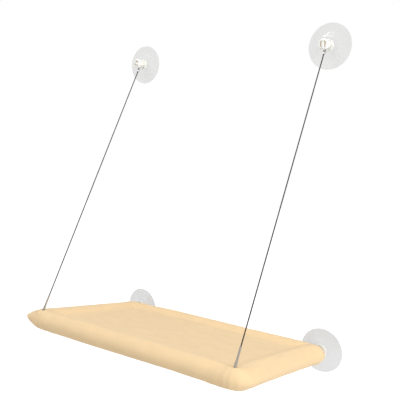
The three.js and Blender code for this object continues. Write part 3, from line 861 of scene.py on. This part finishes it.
def swivel_pin(side, sign):
    end = EAR_SPAN - 0.05 * MM
    edge = 0.5 * MM
    profile = [(0, -end), (PIN_RADIUS, -end, edge), (PIN_RADIUS, end, edge), (0, end)]
    place = BED @ shift(sign * LOWER_CUP_X, 0, 0) @ ACROSS
    pin = turned(f"pivot_pin_{side}", profile, STEEL, place, 48)
    finish_piece(pin, "bed", "steel", f"swivel_pin_{side}")


def foam_sleeve(name, node, place, half_length):
    """A foam tube round a rail, its surface a little uneven as cut foam is."""
    inner = RAIL_RADIUS + FIT
    outer = FOAM_OUTER - 2 * FIT
    outside = [(outer, half_length * (2 * share - 1)) for share in shares(40)]
    profile = [(inner, half_length), (inner, -half_length), *outside]

    def uneven(angle, radius, height):
        if radius < (inner + outer) / 2:
            return radius
        spot = Vector((cos(angle), sin(angle), height / (20 * MM)))
        return radius + 0.3 * MM * (noise.noise(spot * 1.7) - 0.6)

    tube = turned(name, profile, FOAM, place, 64, uneven, loop=True, crease=50)
    clear_of_base(tube)
    finish_piece(tube, "bed", "foam", node)


def dress(node, look):
    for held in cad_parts[node].material_slots:
        held.material = look


def plan_ring(inset, height, corner_steps, long_steps, short_steps):
    """Plan outline of the bed at an inset from the rail axes, in the bed's own frame."""
    half_x = BED_HALF_WIDTH - inset
    half_y = BED_DEPTH / 2 - inset
    radius = ROLL_CORNER + CORNER_GROW * inset if inset > 0 else ROLL_CORNER - inset
    arcs = []
    for quarter, (sign_x, sign_y) in enumerate(((1, 1), (-1, 1), (-1, -1), (1, -1))):
        middle = Vector((sign_x * (half_x - radius), sign_y * (half_y - radius), height))
        angles = [(quarter + share) * pi / 2 for share in shares(corner_steps)]
        arcs.append([middle + radius * Vector((cos(angle), sin(angle), 0)) for angle in angles])
    ring = []
    for arc, after, steps in zip(arcs, arcs[1:] + arcs[:1], (long_steps, short_steps) * 2):
        ring += arc + [arc[-1].lerp(after[0], share) for share in shares(steps)[1:-1]]
    return [point + Vector((0, -BED_DEPTH / 2, 0)) for point in ring]


def to_spine(ring, share):
    """The ring drawn in towards the seat's middle line."""
    spine_half = BED_HALF_WIDTH - BED_DEPTH / 2
    drawn = []
    for point in ring:
        goal = Vector((min(spine_half, max(-spine_half, point.x)), -BED_DEPTH / 2, point.z))
        drawn.append(point.lerp(goal, share))
    return drawn


def seat_foam():
    """The seat's foam slab, with drawn-in sides and a dished top under the cover."""
    bottom = -ROLL_RADIUS + COVER_THICKNESS + FIT
    under = COVER_THICKNESS + 4 * FIT
    top = DISH[1][1] - under
    angles = [share * pi / 2 for share in shares(6)]
    turns = [(1 - sin(angle), 1 - cos(angle)) for angle in angles]
    stack = [(PAD_INSET + PAD_ROUND * inward, bottom + PAD_ROUND * up) for inward, up in turns]
    stack += [(PAD_INSET + PAD_ROUND * inward, top - PAD_ROUND / 2 * down) for down, inward in turns]
    stack += [(DISH[1][0], top), (DISH[2][0], DISH[2][1] - under)]
    size = (8, 60, 30)
    rings = [plan_ring(inset, height, *size) for inset, height in stack]
    floor = plan_ring(DISH[2][0], bottom, *size)
    inner = [to_spine(rings[-1], share) for share in (0.3, 0.6, 0.85, 1)]
    lower = [to_spine(floor, share) for share in (1, 0.6, 0.2)]
    pad = loft("seat_foam", [*lower, *rings, *inner], FOAM, BED, crease=60, open_ends=True)
    finish_piece(pad, "bed", "foam", "seat_pad")


for side, sign in SIDES:
    swivel_pin(side, sign)
    side_place = BED @ shift(sign * BED_HALF_WIDTH, -BED_DEPTH / 2, 0) @ OUTWARD
    foam_sleeve(f"side_foam_sleeve_{side}", f"side_foam_{side}", side_place, BED_DEPTH / 2 - FOAM_END)
for end, y in (("rear", 0), ("front", -BED_DEPTH)):
    end_place = BED @ shift(0, y, 0) @ ACROSS
    foam_sleeve(f"{end}_foam_sleeve", f"{end}_foam", end_place, BED_HALF_WIDTH - FOAM_END)
seat_foam()


# Cover

# Swelling of the fabric by cloth simulation: size of its mesh, and limits of its moves out and in
SWELL_CELL = 6 * MM
SWELL_PRESSURE = 4
SWELL_SLACK = 0.005
SWELL_FRAMES = 20
SWELL_LIMIT = 1.8 * MM
SWELL_INWARD = 0.2 * MM
SWELL_ROOM = 1.2 * MM

HOLE_RADIUS = 1.7 * MM
# Lip and rays of the fabric round a cable hole, and folds that run in from a corner
HOLE_LIP = 1.5 * MM
HOLE_LIP_RUN = 7 * MM
HOLE_RAY = 0.9 * MM
HOLE_RAY_RUN = 13 * MM
HOLE_RAYS = 9
CORNER_FOLD = 1.1 * MM
CORNER_FOLDS = 13
FOLD_INSET = 6 * MM
FOLD_RUN = 38 * MM
# Heights below which the roll's underside is painted with seam shade: the usual band, and the narrower band
# where the cover is drawn out
SEAM_SHADE_BAND = 0.86 * ROLL_RADIUS
NARROW_SEAM_SHADE_BAND = ROLL_RADIUS - FIT
ARC_STEPS = 36
COVER_STEPS = (20, 124, 72)
SPINE_SHARES = (0.14, 0.3, 0.46, 0.62, 0.78, 0.92, 1)
BASE_INSETS = (0.3, 4, 10, 20, 35, 50, 70, 90)


def cover_profile():
    """Inset and height of the cover's outer face, from the bottom seam over the roll to the dish."""
    profile = []
    for share in shares(ARC_STEPS):
        angle = -pi / 2 + (ROLL_PAST_CROWN + pi / 2) * share
        profile.append(ROLL_RADIUS * Vector((-cos(angle), sin(angle))))
    start = profile[-1]
    end = Vector(DISH[0])
    handle = (end.x - start.x) * DISH_HANDLE
    leaving = start + Vector((sin(ROLL_PAST_CROWN), cos(ROLL_PAST_CROWN))) * handle
    arriving = end - Vector((handle, 0))
    for t in shares(10)[1:]:
        first = (1 - t)**3 * start + 3 * (1 - t)**2 * t * leaving
        profile.append(first + 3 * (1 - t) * t**2 * arriving + t**3 * end)
    for first, last in zip(DISH, DISH[1:]):
        profile += [Vector(first).lerp(Vector(last), share) for share in shares(6)[1:]]
    return profile


def hole_point(sign):
    return BED.inverted() @ cable_point(sign, CABLE_RUN)


def pucker(point):
    """How far the cover is drawn in or stands out at a point of the bed's own frame."""
    fold = 0.0
    for _, sign in SIDES:
        away = point - hole_point(sign)
        distance = away.length
        rays = cos(HOLE_RAYS * atan2(away.x, -away.y) + 1.3 * sign)
        window = exp(-distance / HOLE_RAY_RUN) * ease(distance, 2 * MM, 9 * MM)
        reach = hypot(away.x, away.y) + abs(away.z)
        fold += HOLE_RAY * rays * window + HOLE_LIP * exp(-((reach / HOLE_LIP_RUN) ** 2))
    for sign_x in (1, -1):
        for y in (0, -BED_DEPTH):
            inward = 1 if y else -1
            corner = Vector((sign_x * (BED_HALF_WIDTH - FOLD_INSET), y + inward * FOLD_INSET, 0))
            away = point - corner
            distance = hypot(away.x, away.y)
            angle = atan2(away.y * inward, -away.x * sign_x)
            window = ease(distance, 14 * MM, 30 * MM) * exp(-distance / FOLD_RUN)
            lean = 2.5 * noise.noise(Vector((5 * angle, sign_x * 3.1, y * 9)))
            fold += CORNER_FOLD * window * sin(CORNER_FOLDS * angle + lean)
    broad = noise.noise(point * 11 + Vector((3, 1, 7)))
    small = noise.noise(point * 34 + Vector((1, 8, 2)))
    return fold + 0.7 * MM * broad + 0.25 * MM * small


def swivel_cutter(sign):
    """What a swivel stud sweeps through the cover as the bed folds."""
    half_width = STUD_RADIUS + 1 * MM
    clear = STUD_RADIUS + 0.5 * MM
    reach = 26 * MM
    outline = [Vector((-0.4 * clear, -clear)), Vector((reach, -clear))]
    for share in shares(12):
        angle = FOLD_RANGE * share
        outline.append(Vector((reach * cos(angle), reach * sin(angle))))
    sideways = Vector((-sin(FOLD_RANGE), cos(FOLD_RANGE))) * clear
    outline += [outline[-1] + sideways, sideways]
    rings = [[(x, y, z) for y, z in outline] for x in (-half_width, half_width)]
    place = shift(sign * LOWER_CUP_X, -RAIL_TO_GLASS, 0)
    return loft("cutter", rings, FABRIC, place)


def base_rings():
    """Rings of the bed's flat underside, from its edge to the middle line."""
    rings = [plan_ring(inset * MM, -ROLL_RADIUS, *COVER_STEPS) for inset in BASE_INSETS]
    return rings + [to_spine(rings[-1], share) for share in SPINE_SHARES]


def hole_distance(point):
    return min((point - hole_point(sign)).length for _, sign in SIDES)


def fabric_grip(point):
    """How firmly the swelling fabric is held at a point: at its seam, its seat and its cable holes."""
    return max(
        ease(-point.z, SEAM_LIFT_START - 2 * MM, SEAM_LIFT_START + 3 * MM),
        ease(inset_of(point), 30 * MM, 40 * MM),
        1 - ease(hole_distance(point), 4 * MM, 9 * MM),
    )


def swelling(rings):
    """Swells the closed bag of cover and base as cloth: a search tree of its points, and their moves."""
    bag = loft("swelling_bag", [*reversed(base_rings()[1:]), *rings], FABRIC, crease=70, open_ends=True)
    for vertex in bag.data.vertices:
        vertex.co = settle_fabric(vertex.co)
    even = bag.modifiers.new("even", "REMESH")
    even.mode = "VOXEL"
    even.voxel_size = SWELL_CELL
    settle(bag)
    start = [vertex.co.copy() for vertex in bag.data.vertices]
    held = bag.vertex_groups.new(name="held")
    for index, point in enumerate(start):
        held.add([index], fabric_grip(point), "REPLACE")
    cloth = bag.modifiers.new("cloth", "CLOTH")
    cloth.settings.use_pressure = True
    cloth.settings.uniform_pressure_force = SWELL_PRESSURE
    cloth.settings.effector_weights.gravity = 0
    cloth.settings.vertex_group_mass = "held"
    cloth.settings.shrink_min = -SWELL_SLACK
    cloth.point_cache.frame_start = 1
    cloth.point_cache.frame_end = SWELL_FRAMES
    for number in range(1, SWELL_FRAMES + 1):
        bpy.context.scene.frame_set(number)
    settle(bag)
    bpy.context.scene.frame_set(1)
    moves = [vertex.co - point for vertex, point in zip(bag.data.vertices, start)]
    bpy.data.objects.remove(bag)
    return search_tree(start), moves


def swell_move(point, normal, tree, moves):
    """The move of the swelling at a point: limited, and hardly inwards, where foam lies under the fabric."""
    total = Vector()
    weights = 0.0
    for _, index, distance in tree.find_n(point, 6):
        weight = 1 / (distance + SWELL_CELL / 4) ** 2
        total += moves[index] * weight
        weights += weight
    move = total / weights
    move *= min(1, SWELL_LIMIT / max(move.length, SWELL_INWARD))
    return move + normal * max(0, -SWELL_INWARD - move.dot(normal))


def paint_seam_shade(data):
    """Paints shade on the roll's underside: a darker band along the bottom seam, narrower where the cover is
    drawn out.
    """
    data.materials.append(SEAM_SHADE)
    for face in data.polygons:
        drawn_out = abs(settle_fabric(face.center).x - face.center.x)
        narrower = (NARROW_SEAM_SHADE_BAND - SEAM_SHADE_BAND) * ease(drawn_out, 1 * MM, 9 * MM)
        face.material_index = int(face.center.z < -SEAM_SHADE_BAND - narrower)


def thicken(fabric):
    skin = fabric.modifiers.new("thickness", "SOLIDIFY")
    skin.thickness = COVER_THICKNESS
    skin.offset = -1
    settle(fabric)


def seat_cover():
    """The fabric shell round the roll and over the seat, with slots for the swivels and cable holes."""
    rings = [plan_ring(point.x, point.y, *COVER_STEPS) for point in cover_profile()]
    rings += [to_spine(rings[-1], share) for share in SPINE_SHARES]
    cover = loft("seat_cover", rings, FABRIC, crease=70, open_ends=True)
    data = cover.data
    normals = [vertex.normal.copy() for vertex in data.vertices]
    if normals[len(rings[0]) * ARC_STEPS // 2].z < 0:
        data.flip_normals()
        normals = [-normal for normal in normals]
    # Painted shade on the roll's underside along the bottom seam
    paint_seam_shade(data)
    swollen = swelling(rings)
    for vertex, normal in zip(data.vertices, normals):
        seam = ease(-vertex.co.z, ROLL_RADIUS * 0.8, ROLL_RADIUS)
        fold = normal * pucker(vertex.co) * (1 - seam)
        vertex.co = settle_fabric(vertex.co)
        if swollen:
            free = (1 - fabric_grip(vertex.co)) * ease(hole_distance(vertex.co), 8 * MM, 20 * MM)
            fold += swell_move(vertex.co, normal, *swollen) - normal * SWELL_ROOM * free
        vertex.co += fold
    data.transform(BED)
    thicken(cover)
    for _, sign in SIDES:
        combine(cover, swivel_cutter(sign), "DIFFERENCE", 70)
        drill(cover, HOLE_RADIUS, CABLE_RUN - 12 * MM, CABLE_RUN + 6 * MM, cable_place(sign), 40, 70)
    finish_piece(cover, "bed", "fabric", "cover_top")


def base_panel():
    """The flat panel under the bed, sewn to the cover round its edge."""
    panel = loft("base_panel", base_rings(), FABRIC, crease=70, open_ends=True)
    data = panel.data
    if data.polygons[0].normal.z > 0:
        data.flip_normals()
    for vertex in data.vertices:
        inside = ease(inset_of(vertex.co), 0, 30 * MM)
        uneven = 0.35 * MM * (noise.noise(vertex.co * 16) + 0.5)
        settled = settle_fabric(vertex.co)
        settled.z += (vertex.co.z - settled.z + uneven) * inside
        vertex.co = settled
    data.transform(BED)
    thicken(panel)
    clean(panel.data, 70)
    finish_piece(panel, "bed", "fabric", "cover_base")


seat_cover()
base_panel()


# Zip and stitches

ZIP_HALF = BED_HALF_WIDTH - 55 * MM
ZIP_INSET = 42 * MM
TAPE_TOP = -ROLL_RADIUS - FIT
TAPE_BOTTOM = TAPE_TOP - 0.8 * MM
TEETH_BOTTOM = TAPE_BOTTOM - 1.6 * MM
SLIDER_END = ZIP_HALF - FIT
SLIDER_LENGTH = 12 * MM
SLIDER_BOTTOM = TAPE_BOTTOM - FIT - 4.2 * MM
STITCH_HALF = ZIP_HALF - 2 * MM
STITCH_SUNK = 0.1 * MM


def zip_block(name, xs, ys, zs, material, edge):
    """A box with rounded edges, its y counted from the zip's middle line."""
    (left, right), (front, rear) = xs, [y - ZIP_INSET for y in ys]
    rings = [[(left, front, z), (right, front, z), (right, rear, z), (left, rear, z)] for z in zs]
    piece = loft(name, rings, material, BED)
    soften(piece, edge)
    clean(piece.data, 35)
    return piece


def copies(name, shape, places, material):
    """One mesh that holds a copy of a small shape at each place."""
    vertices, faces = shape
    all_vertices = []
    all_faces = []
    for place in places:
        base = len(all_vertices)
        all_vertices += [place @ Vector(vertex) for vertex in vertices]
        all_faces += [tuple(base + index for index in face) for face in faces]
    return mesh_piece(name, all_vertices, all_faces, material, 60)


def bead(length, width, height):
    """A small pillow shape that lies along X: a stitch or a zip tooth."""
    vertices = []
    sections = ((-0.5, 0.12), (-0.42, 0.62), (-0.2, 1.0), (0.2, 1.0), (0.42, 0.62), (0.5, 0.12))
    count = 8
    for along, swell in sections:
        for angle in circle(count):
            y, z = width / 2 * swell * cos(angle), height / 2 * swell * sin(angle)
            vertices.append((length * along, y, z))
    ends = [tuple(range(count)), tuple(range(len(vertices) - count, len(vertices)))]
    return vertices, skin_faces(len(sections), count) + ends


def zip_tapes():
    half = 11 * MM
    gap = 0.35 * MM
    tapes = [
        zip_block(name, (-ZIP_HALF, ZIP_HALF), ys, (TAPE_BOTTOM, TAPE_TOP), TAPE, 0.25 * MM)
        for name, ys in (("zip_tape", (-half, -gap)), ("tape", (gap, half)))
    ]
    combine(*tapes, "UNION")
    finish_piece(tapes[0], "bed", "zip_cloth", "zip_strip")


def zip_teeth():
    pitch = 1.5 * MM
    margin = 3 * MM
    places = []
    for index in range(int(2 * (ZIP_HALF - margin) / pitch)):
        y = -ZIP_INSET + (pitch / 2 if index % 2 else -pitch / 2)
        place = shift(margin - ZIP_HALF + index * pitch, y, (TAPE_BOTTOM + TEETH_BOTTOM) / 2)
        places.append(BED @ place @ Matrix.Rotation(pi / 2, 4, "Z"))
    teeth = copies("zip_teeth", bead(2.8 * MM, 1.25 * MM, 1.55 * MM), places, TAPE)
    finish_piece(teeth, "bed", "zip_cloth")


def zip_slider():
    """The slider's body, a plate with two walls and a bridge, and its pull with a hole in the free end."""
    left = SLIDER_END - SLIDER_LENGTH
    half = 4.5 * MM
    channel = 2.6 * MM
    plate_low = TEETH_BOTTOM - 1.5 * MM
    plate_top = TEETH_BOTTOM - 0.3 * MM
    low = SLIDER_BOTTOM - 0.2 * MM
    whole = (left, SLIDER_END)
    body = zip_block("zip_slider_body", whole, (-half, half), (plate_low, plate_top), BRASS, 0.4 * MM)
    for ys in ((-half, -channel), (channel, half)):
        wall = zip_block("wall", whole, ys, (plate_low, TAPE_BOTTOM - FIT), BRASS, 0.3 * MM)
        combine(body, wall, "UNION", 30)
    bridge = zip_block("bridge", (left + 2 * MM, SLIDER_END - 2.5 * MM), (-1.1 * MM, 1.1 * MM),
                       (low, plate_top - 0.2 * MM), BRASS, 0.4 * MM)
    combine(body, bridge, "UNION", 30)
    finish_piece(body, "zip_slider", "zip_metal", "zip_slider")
    pull_radius = 2.5 * MM
    pull_middle = left - 22 * MM + pull_radius
    outline = []
    for middle, radius, start in ((pull_middle, pull_radius, 90), (left + 3 * MM, 1.4 * MM, -90)):
        for share in shares(12):
            angle = radians(start + 180 * share)
            outline.append((middle + radius * cos(angle), -ZIP_INSET + radius * sin(angle)))
    pull = loft("zip_pull", [[(x, y, z) for x, y in outline] for z in (low, low + 1.2 * MM)], BRASS, BED)
    soften(pull, 0.3 * MM)
    place = BED @ shift(pull_middle, -ZIP_INSET, low)
    drill(pull, 1.3 * MM, -3 * MM, 3 * MM, place, 32, 30)
    finish_piece(pull, "zip_slider", "zip_metal")


def stitch_row(name, route, length):
    """Stitches along a route of points in the bed's own frame."""
    gap = 1.3 * MM
    places = []
    left_over = 0.0
    for start, end in zip(route, route[1:]):
        run = end - start
        travelled = left_over
        while travelled < run.length:
            spot = start + run * (travelled / run.length)
            turn = atan2(run.y, run.x)
            places.append(BED @ Matrix.Translation(spot) @ Matrix.Rotation(turn, 4, "Z"))
            travelled += length + gap
        left_over = travelled - run.length
    row = copies(name, bead(length, 0.7 * MM, 0.5 * MM), places, THREAD)
    finish_piece(row, "bed", "fabric")


zip_tapes()
zip_teeth()
zip_slider()
for label, offset in (("front", -9.5 * MM), ("rear", 9.5 * MM)):
    ends = [Vector((x, offset - ZIP_INSET, TAPE_BOTTOM - STITCH_SUNK)) for x in (-STITCH_HALF, STITCH_HALF)]
    stitch_row(f"zip_stitches_{label}", ends, 2.4 * MM)
seam_route = [settle_fabric(point) for point in plan_ring(3.5 * MM, -ROLL_RADIUS - STITCH_SUNK, 12, 96, 48)]
stitch_row("seam_stitches", [*seam_route, seam_route[0]], 3.0 * MM)

for side, _ in SIDES:
    dress(f"side_rail_{side}", RAIL)
    dress(f"cable_tail_{side}", ROPE)
    dress(f"cable_stop_{side}", STEEL)
for end in ("rear", "front"):
    dress(f"{end}_rail", RAIL)
    for side, _ in SIDES:
        dress(f"{end}_corner_{side}", CORNER)


# Stage and light

WHITE_RAYS = ("Is Camera Ray", "Is Glossy Ray", "Is Transmission Ray")
WORLD_LIGHT = 0.47
FLOOR_HEIGHT = -0.45
FLOOR_HALF = 6.0
FLOOR_COLOR = (0.8, 0.8, 0.8)
FLOOR_GLOW = 0.66
# Each lamp's place, the point that it aims at, its size and its power in watts
LAMPS = {
    "strip": ((-0.92, -0.85, 1.95), (0.24, 0, 0.61), (2.2, 0.42), 21),
    "side": ((2.2, -0.6, 1.2), (0, -0.2, 0.1), (1.2, 1.0), 38),
    "front": ((-0.9, -2.2, 0.5), (-0.1, -0.3, 0), (1.2, 0.8), 3),
}


def white_factor(tree):
    """1 for the rays that should see a white backdrop."""
    path = add_node(tree, "LightPath", {})
    total, *others = [path.outputs[ray] for ray in WHITE_RAYS]
    for seen in others:
        largest = add_node(tree, "Math", {0: total, 1: seen})
        largest.operation = "MAXIMUM"
        total = largest.outputs["Value"]
    return total


def make_world():
    world = bpy.data.worlds.new("studio")
    bpy.context.scene.world = world
    world.use_nodes = True
    tree = world.node_tree
    strength = add_node(tree, "MapRange", {"Value": white_factor(tree), "To Min": WORLD_LIGHT, "To Max": 1.0})
    feed(tree, tree.nodes["Background"], {"Color": (1, 1, 1, 1), "Strength": strength.outputs["Result"]})


def make_floor():
    signs = ((-1, -1), (1, -1), (1, 1), (-1, 1))
    corners = [(FLOOR_HALF * x, FLOOR_HALF * y, FLOOR_HEIGHT) for x, y in signs]
    look = Look("pale_floor", FLOOR_COLOR, 0.9)
    look.tint(look.noise(3), around(FLOOR_COLOR, 0.01))
    look.set("Emission Color", (1, 1, 1, 1))
    look.set("Emission Strength", look.math("MULTIPLY", white_factor(look.tree), FLOOR_GLOW))
    floor = mesh_piece("floor", corners, [(0, 1, 2, 3)], look.material)


def make_lamp(name, place, aim, size, power):
    data = bpy.data.lights.new(name, "AREA")
    data.shape = "RECTANGLE"
    data.size, data.size_y = size
    data.energy = power
    lamp = bpy.data.objects.new(name, data)
    lamp.location = place
    lamp.rotation_euler = (Vector(aim) - Vector(place)).to_track_quat("-Z", "Y").to_euler()
    bpy.context.scene.collection.objects.link(lamp)


make_world()
make_floor()
for name, lamp in LAMPS.items():
    make_lamp(name, *lamp)
bpy.context.scene.view_settings.view_transform = "Standard"
